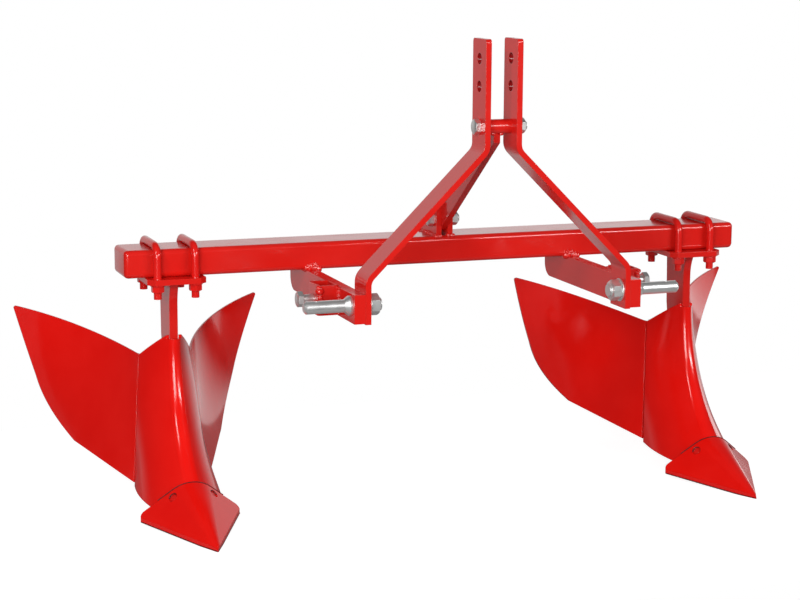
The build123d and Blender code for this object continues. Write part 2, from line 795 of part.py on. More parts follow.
def make_hinges(nose, wing):
    """Knuckles on the nose and on the wing, and the pin through them."""
    with BuildPart() as wing_hinge:
        for drop in hinge_drops:
            add_knuckle(drop, leaf_start, leaf_length, hinge_set_back - wing_thickness / 2)
        add(wing.part, mode=Mode.SUBTRACT)
    save_on_wings(wing_hinge, "wing_hinge")
    with BuildPart() as nose_hinge:
        for drop in hinge_drops:
            reach = hinge_set_back - nose_thickness + leaf_bite
            add_knuckle(drop + knuckle_length + slip, -leaf_length, -leaf_start, reach)
        add(nose.part, mode=Mode.SUBTRACT)
    with BuildPart() as behind_nose:
        add(nose_hinge.solids().sort_by(SortBy.VOLUME)[-len(hinge_drops) :])
    save_on_bodies(both_hands(behind_nose), "nose_hinges")
    with BuildPart() as pin:
        with BuildSketch(hinge_plane(hinge_drops[0])):
            Circle(knuckle_radius)
        extrude(amount=hinge_head_height)
        with BuildSketch(hinge_plane(hinge_drops[0])):
            Circle(hinge_pin_diameter / 2)
        extrude(amount=hinge_drops[0] - hinge_drops[1] - 2 * knuckle_length - slip - hinge_tail)
    save_on_bodies(both_hands(pin), "hinge_pins")


def make_locks(shank, wing):
    """The slotted quadrant on the shank, the wing's bracket on it, and the bolt that locks the two."""
    plane = hinge_plane(quadrant_drop)
    slot_half = lock_bolt_diameter / 2 + bolt_clearance
    in_angle = radians(lock_angle + wing_in_angle)
    out_angle = radians(lock_angle - wing_out_angle)
    weld = plane.to_local_coords(Vector(*quadrant_weld, plane.origin.Z))
    bolt_place = (-slot_radius * sin(radians(lock_angle)), slot_radius * cos(radians(lock_angle)))
    with BuildPart() as quadrant:
        with BuildSketch(plane):
            with BuildLine():
                CenterArc((0, 0), knuckle_radius, 0, 360)
                CenterArc((weld.X, weld.Y), knuckle_radius, 0, 360)
                for angle in (in_angle, out_angle):
                    slot_end = (-slot_radius * sin(angle), slot_radius * cos(angle))
                    CenterArc(slot_end, slot_half + quadrant_margin, 0, 360)
            make_hull()
            Circle(hinge_pin_diameter / 2 + running, mode=Mode.SUBTRACT)
            sweep_angle = degrees(in_angle - out_angle)
            with BuildLine(mode=Mode.PRIVATE) as track:
                CenterArc((0, 0), slot_radius, 90 + degrees(out_angle), sweep_angle)
            SlotArc(track.edge(), 2 * slot_half, mode=Mode.SUBTRACT)
        extrude(amount=-quadrant_thickness)
        add(shank.part, mode=Mode.SUBTRACT)
    save_on_bodies(both_hands(quadrant), "quadrants")

    with BuildPart() as bracket:
        with BuildSketch(plane):
            with Locations(bolt_place):
                Circle(bracket_width / 2)
                reach = hinge_set_back - bolt_place[0]
                Rectangle(reach, bracket_width, align=(Align.MIN, Align.CENTER))
                Circle(slot_half, mode=Mode.SUBTRACT)
        extrude(amount=bracket_thickness)
        add(wing.part, mode=Mode.SUBTRACT)
    save_on_wings(bracket, "wing_bracket")

    seat = Plane(plane.from_local_coords(Vector(*bolt_place)), x_dir=plane.x_dir, z_dir=plane.z_dir)
    under = Plane(seat.offset(-quadrant_thickness).origin, x_dir=plane.x_dir, z_dir=-plane.z_dir)
    grip = bracket_thickness + quadrant_thickness + washer_thickness + 1.1 * lock_bolt_diameter
    with BuildPart() as lock_bolt:
        add_bolt(seat.offset(bracket_thickness), lock_bolt_diameter, grip)
        add_plain_nut(under, lock_bolt_diameter)
    save_on_wings(lock_bolt, "lock_bolt")


make_toolbar()
for side, way in sides:
    make_hitch_side(side, way)
    make_mast_bar(side, way)
make_stay()
make_clamp()
make_share_and_frog()
shank = make_shank()
nose = make_nose(shank)
wing = make_wing()
make_hinges(nose, wing)
make_locks(shank, wing)
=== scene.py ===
import math
import random

import bmesh
import bpy
from mathutils import Matrix, Vector


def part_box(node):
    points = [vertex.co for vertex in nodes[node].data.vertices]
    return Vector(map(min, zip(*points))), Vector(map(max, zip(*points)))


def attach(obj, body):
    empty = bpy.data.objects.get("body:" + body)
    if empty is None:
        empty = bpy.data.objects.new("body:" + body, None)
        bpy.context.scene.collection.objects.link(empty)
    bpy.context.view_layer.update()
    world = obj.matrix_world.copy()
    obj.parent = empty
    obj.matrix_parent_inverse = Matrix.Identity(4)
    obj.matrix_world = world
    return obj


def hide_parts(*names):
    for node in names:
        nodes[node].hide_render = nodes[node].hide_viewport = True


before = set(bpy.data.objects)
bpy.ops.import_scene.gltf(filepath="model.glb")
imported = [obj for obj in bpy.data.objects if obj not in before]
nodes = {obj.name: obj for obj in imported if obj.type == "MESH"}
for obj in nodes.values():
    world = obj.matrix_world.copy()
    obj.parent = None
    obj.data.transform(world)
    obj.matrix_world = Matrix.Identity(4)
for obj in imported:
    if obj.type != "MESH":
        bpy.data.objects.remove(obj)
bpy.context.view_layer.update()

scene = bpy.context.scene
scene.view_settings.view_transform = "Standard"


# The toolbar: a length of 90 x 50 mm rolled hollow section with rounded corners, and a plate welded into
# each end. All the steelwork is blasted after welding and sprayed with one gloss red coat, which has a fine
# orange peel and a faint unevenness of hue. A rim colour is painted along edges: paler, as a painted
# highlight, on bars, sections, rods and welds, and near black, as painted shade, on sheet.
def group_socket(tree, name, kind, way, default=None):
    """Gives a shader group one named input or output."""
    socket = tree.interface.new_socket(name=name, socket_type=kind, in_out=way)
    if default is not None:
        socket.default_value = default


def build_orange_peel():
    """The skin of a sprayed coat: its small dimples, its slow waves and the mottle of its film."""
    tree = bpy.data.node_groups.new("orange_peel", "ShaderNodeTree")
    group_socket(tree, "Peel Size", "NodeSocketFloat", "INPUT", 320.0)
    group_socket(tree, "Wave Size", "NodeSocketFloat", "INPUT", 16.0)
    group_socket(tree, "Wave Share", "NodeSocketFloat", "INPUT", 0.6)
    group_socket(tree, "Height", "NodeSocketFloat", "OUTPUT")
    group_socket(tree, "Mottle", "NodeSocketFloat", "OUTPUT")
    inputs = tree.nodes.new("NodeGroupInput")
    outputs = tree.nodes.new("NodeGroupOutput")
    place = tree.nodes.new("ShaderNodeTexCoord")
    peel = tree.nodes.new("ShaderNodeTexNoise")
    peel.inputs["Detail"].default_value = 1.0
    wave = tree.nodes.new("ShaderNodeTexNoise")
    wave.inputs["Detail"].default_value = 3.0
    both = tree.nodes.new("ShaderNodeMix")
    both.data_type = "FLOAT"
    tree.links.new(place.outputs["Object"], peel.inputs["Vector"])
    tree.links.new(place.outputs["Object"], wave.inputs["Vector"])
    tree.links.new(inputs.outputs["Peel Size"], peel.inputs["Scale"])
    tree.links.new(inputs.outputs["Wave Size"], wave.inputs["Scale"])
    tree.links.new(inputs.outputs["Wave Share"], both.inputs[0])
    tree.links.new(peel.outputs["Fac"], both.inputs[2])
    tree.links.new(wave.outputs["Fac"], both.inputs[3])
    tree.links.new(both.outputs[0], outputs.inputs["Height"])
    tree.links.new(wave.outputs["Fac"], outputs.inputs["Mottle"])
    return tree


def build_soft_edge():
    """The small round that blasting and paint leave on a cut edge, and a mask of where it is."""
    tree = bpy.data.node_groups.new("soft_edge", "ShaderNodeTree")
    group_socket(tree, "Radius", "NodeSocketFloat", "INPUT", 0.0012)
    group_socket(tree, "Normal", "NodeSocketVector", "OUTPUT")
    group_socket(tree, "Edge", "NodeSocketFloat", "OUTPUT")
    inputs = tree.nodes.new("NodeGroupInput")
    outputs = tree.nodes.new("NodeGroupOutput")
    rounded = tree.nodes.new("ShaderNodeBevel")
    rounded.samples = 6
    flat = tree.nodes.new("ShaderNodeNewGeometry")
    lean = tree.nodes.new("ShaderNodeVectorMath")
    lean.operation = "DOT_PRODUCT"
    mask = tree.nodes.new("ShaderNodeMapRange")
    mask.inputs["From Min"].default_value = 0.995
    mask.inputs["From Max"].default_value = 0.80
    tree.links.new(inputs.outputs["Radius"], rounded.inputs["Radius"])
    tree.links.new(rounded.outputs["Normal"], lean.inputs[0])
    tree.links.new(flat.outputs["Normal"], lean.inputs[1])
    tree.links.new(lean.outputs["Value"], mask.inputs["Value"])
    tree.links.new(rounded.outputs["Normal"], outputs.inputs["Normal"])
    tree.links.new(mask.outputs["Result"], outputs.inputs["Edge"])
    return tree


orange_peel = build_orange_peel()
soft_edge = build_soft_edge()


def red_coat(name, deep, pale, rim, roughness, edge, dimple):
    """The gloss red coat from deep to pale red, with its rim colour on edges of that radius as painted
    light.
    """
    material = bpy.data.materials.new(name)
    material.use_nodes = True
    tree = material.node_tree
    shader = tree.nodes["Principled BSDF"]
    shader.inputs["IOR"].default_value = 1.5
    shader.inputs["Coat Weight"].default_value = 0.15
    shader.inputs["Coat Roughness"].default_value = 0.07
    skin = tree.nodes.new("ShaderNodeGroup")
    skin.node_tree = orange_peel
    rounding = tree.nodes.new("ShaderNodeGroup")
    rounding.node_tree = soft_edge
    rounding.inputs["Radius"].default_value = edge
    hue = tree.nodes.new("ShaderNodeMix")
    hue.data_type = "RGBA"
    hue.inputs["A"].default_value = (*deep, 1.0)
    hue.inputs["B"].default_value = (*pale, 1.0)
    # The rim colour mixed in on edges is painted light: a pale rim is a painted highlight, a dark one
    # painted shade.
    painted_edge_mix = tree.nodes.new("ShaderNodeMix")
    painted_edge_mix.data_type = "RGBA"
    painted_edge_mix.inputs["B"].default_value = (*rim, 1.0)
    painted_edge_weight = tree.nodes.new("ShaderNodeMath")
    painted_edge_weight.operation = "MULTIPLY"
    painted_edge_weight.inputs[1].default_value = 0.5
    gloss = tree.nodes.new("ShaderNodeMapRange")
    gloss.inputs["From Min"].default_value = 0.3
    gloss.inputs["From Max"].default_value = 0.7
    gloss.inputs["To Min"].default_value = roughness - 0.04
    gloss.inputs["To Max"].default_value = roughness + 0.05
    bump = tree.nodes.new("ShaderNodeBump")
    bump.inputs["Strength"].default_value = dimple
    bump.inputs["Distance"].default_value = 0.0006
    tree.links.new(skin.outputs["Mottle"], hue.inputs["Factor"])
    tree.links.new(skin.outputs["Mottle"], gloss.inputs["Value"])
    tree.links.new(rounding.outputs["Edge"], painted_edge_weight.inputs[0])
    tree.links.new(painted_edge_weight.outputs["Value"], painted_edge_mix.inputs["Factor"])
    tree.links.new(hue.outputs["Result"], painted_edge_mix.inputs["A"])
    tree.links.new(painted_edge_mix.outputs["Result"], shader.inputs["Base Color"])
    tree.links.new(gloss.outputs["Result"], shader.inputs["Roughness"])
    tree.links.new(skin.outputs["Height"], bump.inputs["Height"])
    tree.links.new(rounding.outputs["Normal"], bump.inputs["Normal"])
    tree.links.new(bump.outputs["Normal"], shader.inputs["Normal"])
    return material


def paint(material, *names):
    """Gives CAD nodes their finish."""
    for name in names:
        nodes[name].data.materials.clear()
        nodes[name].data.materials.append(material)


def new_piece(name, bm, material, body):
    """Makes a finished bmesh into a piece that rides on a body."""
    mesh = bpy.data.meshes.new(name)
    bm.to_mesh(mesh)
    bm.free()
    mesh.materials.append(material)
    mesh.shade_smooth()
    mesh.set_sharp_from_angle(angle=math.radians(35))
    piece = bpy.data.objects.new(name, mesh)
    scene.collection.objects.link(piece)
    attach(piece, body)
    return piece


def mirrored(way, point):
    """A point or direction of a right half, on the half that way names: -1 the left, 1 the right."""
    x, y, z = point
    return Vector((way * x, y, z))


def round_edges(bm, edges, radius, segments):
    """Rounds the edges of a form."""
    bmesh.ops.bevel(
        bm, geom=edges, offset=radius, offset_type="OFFSET", segments=segments, profile=0.5, affect="EDGES",
        material=-1
    )


bar_red = red_coat(
    "red_coat_on_toolbar", deep=(0.64, 0.009, 0.006), pale=(0.71, 0.015, 0.010), rim=(0.71, 0.020, 0.014),
    roughness=0.16, edge=0.0002, dimple=0.08
)
paint(bar_red, "toolbar")

both_sides = (("left", -1), ("right", 1))
bar_low, bar_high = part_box("toolbar")
bar_corner = 0.009
cap_face_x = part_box("end_cap_right")[1].x
cap_round = 0.0075
cap_clearance = 0.0002
cap_inner = Vector((bar_high.x, bar_low.y, bar_low.z + cap_clearance))
cap_outer = Vector((cap_face_x, bar_high.y, bar_high.z))
for side, way in both_sides:
    bm = bmesh.new()
    middle = Matrix.Translation(mirrored(way, (cap_inner + cap_outer) / 2))
    bmesh.ops.create_cube(bm, size=1.0, matrix=middle @ Matrix.Diagonal((*(cap_outer - cap_inner), 1.0)))
    corners = [edge for edge in bm.edges if abs(edge.verts[0].co.x - edge.verts[1].co.x) > 0.001]
    round_edges(bm, corners, bar_corner, 8)
    rim = [edge for edge in bm.edges if all(abs(vert.co.x) > cap_face_x - 1e-5 for vert in edge.verts)]
    round_edges(bm, rim, cap_round, 6)
    cap = new_piece(f"end_cap_{side}_detail", bm, bar_red, "hitch_frame")
    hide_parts(f"end_cap_{side}")


# The welds are hand-laid beads, rough and painted over. The section coat's paler rim colour is a painted
# highlight along edges, and the weld coat's pale pink rim is a painted glint on the crests of the ripples.
section_red = red_coat(
    "red_coat_on_section", deep=(0.64, 0.009, 0.006), pale=(0.71, 0.015, 0.010), rim=(0.78, 0.045, 0.034),
    roughness=0.18, edge=0.0014, dimple=0.10
)
weld_red_painted_glint = red_coat(
    "red_coat_on_welds_painted_glint", deep=(0.62, 0.007, 0.005), pale=(0.76, 0.014, 0.010), rim=(1.00, 0.620, 0.580),
    roughness=0.11, edge=0.0010, dimple=0.30
)
paint(section_red, "hitch_arm_left", "hitch_arm_right", "stud_stub_left", "stud_stub_right")


def lay_bead(bm, start, end, leg, seed, rough=0.16):
    """Lays a weld bead from start to end as overlapping drops of about the leg's radius."""
    spacing = 0.7 * leg
    flattening = 0.85
    dice = random.Random(seed)
    run = end - start
    count = max(2, round(run.length / spacing))
    turn = run.to_track_quat("X", "Z").to_matrix().to_4x4()
    for drop in range(count + 1):
        stray = Vector((dice.uniform(-1, 1), dice.uniform(-1, 1), dice.uniform(-1, 1))) * rough * leg
        size = leg * dice.uniform(1 - rough, 1 + rough)
        place = Matrix.Translation(start + run * (drop / count) + stray)
        shape = Matrix.Diagonal((flattening * size, size, size, 1.0))
        bmesh.ops.create_uvsphere(bm, u_segments=10, v_segments=6, radius=1.0, matrix=place @ turn @ shape)


arm_low, arm_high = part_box("hitch_arm_right")
stub_low, stub_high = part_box("stud_stub_right")
seam_inset = 0.004
seam_front_y = bar_low.y + seam_inset
seam_rear_y = bar_high.y - seam_inset
seam_leg = 0.0042
end_bead_z = bar_low.z + 0.003
end_bead_reach = 0.002
end_bead_leg = 0.0062
upper_bead_y = seam_front_y - 0.003
upper_bead_z = bar_low.z + 0.009
upper_bead_leg = 0.0038
stub_seam_low_z = stub_low.z + 0.003
stub_seam_high_z = stub_high.z - 0.006
stub_seam_leg = 0.0040
lip_x = stub_high.x - 0.003
lip_y = stub_low.y + 0.001
lip_low_z = stub_low.z + 0.008
lip_high_z = stub_high.z - 0.004
lip_leg = 0.0064
for side, way in both_sides:
    bm = bmesh.new()
    for x in (arm_low.x, arm_high.x):
        start = mirrored(way, (x, seam_front_y, bar_low.z))
        end = mirrored(way, (x, seam_rear_y, bar_low.z))
        lay_bead(bm, start, end, seam_leg, 11 + round(100 * x))
    start = mirrored(way, (arm_low.x - end_bead_reach, seam_front_y, end_bead_z))
    end = mirrored(way, (arm_high.x + end_bead_reach, seam_front_y - 0.001, end_bead_z))
    lay_bead(bm, start, end, end_bead_leg, 23 + way, 0.24)
    start = mirrored(way, (arm_low.x + 0.001, upper_bead_y, upper_bead_z))
    end = mirrored(way, (arm_high.x - 0.003, upper_bead_y, upper_bead_z - 0.001))
    lay_bead(bm, start, end, upper_bead_leg, 31 + way, 0.35)
    for y in (stub_low.y, stub_high.y):
        start = mirrored(way, (arm_high.x, y, stub_seam_low_z))
        end = mirrored(way, (arm_high.x, y, stub_seam_high_z))
        lay_bead(bm, start, end, stub_seam_leg, 41 + way)
    start = mirrored(way, (lip_x, lip_y, lip_low_z))
    end = mirrored(way, (lip_x, lip_y, lip_high_z))
    lay_bead(bm, start, end, lip_leg, 47 + way, 0.34)
    new_piece(f"arm_welds_{side}", bm, weld_red_painted_glint, "hitch_frame")


# The lower hitch pins: 22 mm turned steel pins with a tapered collar, a linch-pin hole through the outer end
# and a thread on the inner end, where a nut draws the pin, the arm and the mast's foot together. Pins and
# nuts are bright zinc plate.
def build_turned_marks():
    """The fine rings that turning leaves round a pin that lies along X, under the plating."""
    tree = bpy.data.node_groups.new("turned_marks", "ShaderNodeTree")
    group_socket(tree, "Ring Size", "NodeSocketFloat", "INPUT", 900.0)
    group_socket(tree, "Cloud Size", "NodeSocketFloat", "INPUT", 45.0)
    group_socket(tree, "Rings", "NodeSocketFloat", "OUTPUT")
    group_socket(tree, "Cloud", "NodeSocketFloat", "OUTPUT")
    inputs = tree.nodes.new("NodeGroupInput")
    outputs = tree.nodes.new("NodeGroupOutput")
    place = tree.nodes.new("ShaderNodeTexCoord")
    stretch = tree.nodes.new("ShaderNodeMapping")
    stretch.inputs["Scale"].default_value = (1.0, 0.03, 0.03)
    rings = tree.nodes.new("ShaderNodeTexNoise")
    cloud = tree.nodes.new("ShaderNodeTexNoise")
    cloud.inputs["Detail"].default_value = 4.0
    tree.links.new(place.outputs["Object"], stretch.inputs["Vector"])
    tree.links.new(stretch.outputs["Vector"], rings.inputs["Vector"])
    tree.links.new(place.outputs["Object"], cloud.inputs["Vector"])
    tree.links.new(inputs.outputs["Ring Size"], rings.inputs["Scale"])
    tree.links.new(inputs.outputs["Cloud Size"], cloud.inputs["Scale"])
    tree.links.new(rings.outputs["Fac"], outputs.inputs["Rings"])
    tree.links.new(cloud.outputs["Fac"], outputs.inputs["Cloud"])
    return tree


turned_marks = build_turned_marks()


def zinc_plate(name, dull, bright, roughness, ring_size):
    """Clear zinc plate on turned or pressed steel, a little clouded and softened at its edges."""
    material = bpy.data.materials.new(name)
    material.use_nodes = True
    tree = material.node_tree
    shader = tree.nodes["Principled BSDF"]
    shader.inputs["Metallic"].default_value = 0.85
    marks = tree.nodes.new("ShaderNodeGroup")
    marks.node_tree = turned_marks
    marks.inputs["Ring Size"].default_value = ring_size
    rounding = tree.nodes.new("ShaderNodeGroup")
    rounding.node_tree = soft_edge
    rounding.inputs["Radius"].default_value = 0.0006
    hue = tree.nodes.new("ShaderNodeMix")
    hue.data_type = "RGBA"
    hue.inputs["A"].default_value = (*dull, 1.0)
    hue.inputs["B"].default_value = (*bright, 1.0)
    gloss = tree.nodes.new("ShaderNodeMapRange")
    gloss.inputs["From Min"].default_value = 0.3
    gloss.inputs["From Max"].default_value = 0.7
    gloss.inputs["To Min"].default_value = roughness + 0.08
    gloss.inputs["To Max"].default_value = roughness - 0.05
    bump = tree.nodes.new("ShaderNodeBump")
    bump.inputs["Strength"].default_value = 0.12
    bump.inputs["Distance"].default_value = 0.0003
    tree.links.new(marks.outputs["Cloud"], hue.inputs["Factor"])
    tree.links.new(marks.outputs["Cloud"], gloss.inputs["Value"])
    tree.links.new(marks.outputs["Rings"], bump.inputs["Height"])
    tree.links.new(rounding.outputs["Normal"], bump.inputs["Normal"])
    tree.links.new(hue.outputs["Result"], shader.inputs["Base Color"])
    tree.links.new(gloss.outputs["Result"], shader.inputs["Roughness"])
    tree.links.new(bump.outputs["Normal"], shader.inputs["Normal"])
    return material


turned_zinc = zinc_plate(
    "zinc_on_turned_steel", dull=(0.80, 0.81, 0.80), bright=(0.95, 0.95, 0.94), roughness=0.36,
    ring_size=900.0
)
pressed_zinc = zinc_plate(
    "zinc_on_pressed_steel", dull=(0.78, 0.79, 0.78), bright=(0.94, 0.94, 0.93), roughness=0.38,
    ring_size=500.0
)
paint(turned_zinc, "hitch_pin_left", "hitch_pin_right")

flats_per_diameter = 1.5
face_per_flats = 0.475
washer_thickness = 0.0025


def set_into(bm, part, place):
    """Closes a part, turns its faces outwards and sets it into a larger piece."""
    bmesh.ops.remove_doubles(part, verts=part.verts, dist=1e-6)
    bmesh.ops.recalc_face_normals(part, faces=part.faces)
    bmesh.ops.transform(part, matrix=place, verts=part.verts)
    holder = bpy.data.meshes.new("part_in_hand")
    part.to_mesh(holder)
    part.free()
    bm.from_mesh(holder)
    bpy.data.meshes.remove(holder)


def stand(spot, axis):
    """The place of a fastener: its foot on the spot and its own Z along the axis."""
    return Matrix.Translation(spot) @ Vector(axis).to_track_quat("Z", "Y").to_matrix().to_4x4()


def add_turned(bm, profile, place):
    """Adds a part turned from a profile of (radius, height) corners."""
    part = bmesh.new()
    corners = [part.verts.new((radius, 0.0, height)) for radius, height in profile]
    edges = [part.edges.new(pair) for pair in zip(corners, corners[1:])]
    bmesh.ops.spin(
        part, geom=corners + edges, cent=(0, 0, 0), axis=(0, 0, 1), angle=2 * math.pi, steps=36,
        use_merge=True
    )
    set_into(bm, part, place)


def add_hexagon(bm, flats, height, place, ends):
    """Adds a hexagon whose corners are turned down at 30 degrees at the ends named by -1 and 1."""
    part = bmesh.new()
    corner = flats / math.sqrt(3)
    bmesh.ops.create_cone(
        part, cap_ends=True, segments=6, radius1=corner, radius2=corner, depth=height,
        matrix=Matrix.Translation((0, 0, height / 2))
    )
    lean = math.radians(30)
    for end in ends:
        for bearing in range(0, 360, 15):
            out = Matrix.Rotation(math.radians(bearing), 3, "Z") @ Vector((1, 0, 0))
            rim = face_per_flats * flats * out + Vector((0, 0, height if end > 0 else 0.0))
            slope = math.sin(lean) * out + Vector((0, 0, end * math.cos(lean)))
            cut = bmesh.ops.bisect_plane(
                part, geom=part.verts[:] + part.edges[:] + part.faces[:], plane_co=rim, plane_no=slope,
                clear_outer=True
            )
            edges = [item for item in cut["geom_cut"] if isinstance(item, bmesh.types.BMEdge)]
            bmesh.ops.edgeloop_fill(part, edges=edges)
    set_into(bm, part, place)


def add_nut(bm, spot, axis, diameter, height):
    """Adds a washer with the rolled rim of a punched blank on the spot, and a nut on top of it."""
    flats = flats_per_diameter * diameter
    hole = diameter / 2
    outside = 0.62 * flats
    roll = 0.0005
    burr = 0.0003
    washer = (
        (hole, 0.0), (outside - roll, 0.0), (outside, roll), (outside, washer_thickness - burr),
        (outside - burr, washer_thickness), (hole, washer_thickness), (hole, 0.0)
    )
    add_turned(bm, washer, stand(spot, axis))
    add_hexagon(bm, flats, height, stand(Vector(spot) + washer_thickness * Vector(axis), axis), (-1, 1))


def add_thread(bm, spot, axis, diameter, pitch, length):
    """Adds a rolled thread as a ridge wound round the bolt, from the spot along the axis."""
    part = bmesh.new()
    root = diameter / 2 - 0.0004
    crest = diameter / 2 + 0.0003
    ridge = ((root, 0, 0), (crest, 0, 0.45 * pitch), (root, 0, 0.9 * pitch))
    corners = [part.verts.new(corner) for corner in ridge]
    edges = [part.edges.new((corners[near], corners[far])) for near, far in ((0, 1), (1, 2), (2, 0))]
    turns = max(1, int(length / pitch) - 1)
    steps = 18
    wound = bmesh.ops.spin(
        part, geom=corners + edges, cent=(0, 0, 0), axis=(0, 0, 1), dvec=(0, 0, pitch / steps),
        angle=2 * math.pi * turns, steps=steps * turns
    )
    last = [item for item in wound["geom_last"] if isinstance(item, bmesh.types.BMEdge)]
    bmesh.ops.edgeloop_fill(part, edges=edges)
    bmesh.ops.edgeloop_fill(part, edges=last)
    set_into(bm, part, stand(spot, axis))


mast_thickness = 0.010
mast_foot_x = arm_low.x - mast_thickness
pin_y = -0.2745
pin_z = 0.401
pin_diameter = 0.022
pin_pitch = 0.0020
pin_nut_height = 0.017
pin_thread_x = 0.2185
pin_thread_length = 0.0055
for side, way in both_sides:
    inwards = (-way, 0, 0)
    bm = bmesh.new()
    add_nut(bm, mirrored(way, (mast_foot_x, pin_y, pin_z)), inwards, pin_diameter, pin_nut_height)
    nut = new_piece(f"hitch_pin_nut_{side}_detail", bm, pressed_zinc, "hitch_frame")
    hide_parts(f"hitch_pin_nut_{side}")
    bm = bmesh.new()
    spot = mirrored(way, (pin_thread_x, pin_y, pin_z))
    add_thread(bm, spot, inwards, pin_diameter, pin_pitch, pin_thread_length)
    new_piece(f"hitch_pin_thread_{side}", bm, turned_zinc, "hitch_frame")


# The check studs: M16 zinc-plated bolts in the outer walls of the stubs, for the chains that keep the
# implement from swaying. Each has its head standing out on its shank, and a washer and nut inside the stub.
m16 = 0.016
m16_pitch = 0.0020
m16_nut_height = 0.0128
thread_lead = 0.0014


def add_bolt(bm, spot, axis, diameter, length, pitch, threaded):
    """Adds a hex bolt: its head stands on the spot, and its shank runs back from it and ends in a thread."""
    head = 0.62 * diameter
    flats = flats_per_diameter * diameter
    face = face_per_flats * flats
    face_height = 0.0005
    shank = diameter / 2
    tip = 0.0012
    place = stand(spot, axis)
    add_hexagon(bm, flats, head, place, (1,))
    add_turned(bm, ((0, 0.0), (face, 0.0), (face, -face_height), (shank, -face_height)), place)
    add_turned(bm, ((shank, 0.0), (shank, -length + tip), (shank - tip, -length), (0, -length)), place)
    tail = Vector(spot) - (length - thread_lead) * Vector(axis)
    add_thread(bm, tail, axis, diameter, pitch, threaded)


stud_y = -0.1855
stud_z = 0.400
stud_head_x = 0.325
stud_length = 0.0451
stud_thread = 0.024
stub_wall = 0.005
for side, way in both_sides:
    bm = bmesh.new()
    spot = mirrored(way, (stud_head_x, stud_y, stud_z))
    add_bolt(bm, spot, (way, 0, 0), m16, stud_length, m16_pitch, stud_thread)
    seat = mirrored(way, (stub_high.x - stub_wall, stud_y, stud_z))
    add_nut(bm, seat, (-way, 0, 0), m16, m16_nut_height)
    stud = new_piece(f"check_stud_{side}_detail", bm, pressed_zinc, "hitch_frame")
    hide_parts(f"check_stud_{side}")


# The mast: two 60 x 10 mm flat bars, each bent twice hot, that rise from the pins and stand side by side
# above, with two drilled holes for the top link. Their edges are rolled, not ground. The walls of the holes
# are lined with a dark red that is painted shade, for the shadow inside the bores.
bore_shade_red = red_coat(
    "painted_shade_in_bores", deep=(0.22, 0.003, 0.003), pale=(0.27, 0.004, 0.004), rim=(0.27, 0.004, 0.004),
    roughness=0.24, edge=0.0002, dimple=0.05
)
paint(section_red, "mast_bar_left", "mast_bar_right")
mast_inner_x = 0.024
top_link_y = -0.2675
top_link_heights = (0.813, 0.766)
bore_radius = 0.0097
shade_lining_radius = 0.0093
shade_lining_inset = 0.0002
shade_lining_length = mast_thickness - 2 * shade_lining_inset
# A thin dark red lining inside each bore: painted shade.
bore_shade_lining = (
    (shade_lining_radius, 0.0), (bore_radius, 0.0), (bore_radius, shade_lining_length), (shade_lining_radius, shade_lining_length),
    (shade_lining_radius, 0.0)
)
bm = bmesh.new()
for way in (-1, 1):
    for z in top_link_heights:
        spot = mirrored(way, (mast_inner_x + shade_lining_inset, top_link_y, z))
        add_turned(bm, bore_shade_lining, stand(spot, (way, 0, 0)))
new_piece("mast_bore_painted_shade", bm, bore_shade_red, "hitch_frame")


# The stay: a spacer tube between the mast bars, with a flat bar welded to it that runs back and down between
# two lugs on the toolbar. The lugs are cut from plate and welded down along both outer sides and across both
# ends.
paint(section_red, "mast_spacer", "mast_stay", "stay_lugs")
spacer_y = -0.2675
spacer_z = 0.697
spacer_radius = 0.0125
lug_low, lug_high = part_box("stay_lugs")
lug_inner_x = 0.006
lug_seam_x = lug_high.x + 0.0005
lug_side_leg = 0.0040
lug_end_leg = 0.0042
stay_seam_x = 0.0065
stay_seam_width = 0.0025
stay_leg = 0.0030
bm = bmesh.new()
for way in (-1, 1):
    front = mirrored(way, (lug_seam_x, lug_low.y, bar_high.z))
    back = mirrored(way, (lug_seam_x, lug_high.y, bar_high.z))
    lay_bead(bm, front, back, lug_side_leg, 61 + way, 0.22)
    for outer in (front, back):
        inner = mirrored(way, (lug_inner_x, outer.y, outer.z))
        lay_bead(bm, inner, outer, lug_end_leg, 67 + way, 0.28)
    for step in range(6):
        angle = math.radians(-96 + 24 * step)
        y = spacer_y + spacer_radius * math.cos(angle)
        z = spacer_z + spacer_radius * math.sin(angle)
        spot = mirrored(way, (stay_seam_x, y, z))
        lay_bead(bm, spot, spot + Vector((way * stay_seam_width, 0, 0)), stay_leg, 71 + step)
new_piece("stay_welds", bm, weld_red_painted_glint, "hitch_frame")


# The mast bolt and the stay bolt: M16 zinc-plated bolts with their heads on the left and a washer and nut on
# the right. The first goes through both mast bars and the spacer, the second through the lugs and the stay.
mast_half = mast_inner_x + mast_thickness
stay_bolt_y = 0.0005
stay_bolt_z = 0.502
bolt_overhang = 0.004
bolt_thread = 0.020
for name, y, z, half in (
    ("mast_bolt", spacer_y, spacer_z, mast_half), ("stay_bolt", stay_bolt_y, stay_bolt_z, lug_high.x)
):
    bm = bmesh.new()
    length = 2 * half + washer_thickness + m16_nut_height + bolt_overhang
    add_bolt(bm, (-half, y, z), (-1, 0, 0), m16, length, m16_pitch, bolt_thread)
    add_nut(bm, (half, y, z), (1, 0, 0), m16, m16_nut_height)
    bolt = new_piece(f"{name}_detail", bm, pressed_zinc, "hitch_frame")
    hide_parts(name)


# The clamps: on each ridging body two 14 mm rods bent square over the toolbar, drawn up by nuts under a
# chamfered plate. Rods and nuts went through the spray booth with the rest, so they are red with paint in
# their threads.
# The paler rim colour of the rod coat is a painted highlight along its edges.
rod_red = red_coat(
    "red_coat_on_rod", deep=(0.66, 0.008, 0.006), pale=(0.76, 0.014, 0.010), rim=(0.78, 0.034, 0.026),
    roughness=0.17, edge=0.0008, dimple=0.10
)


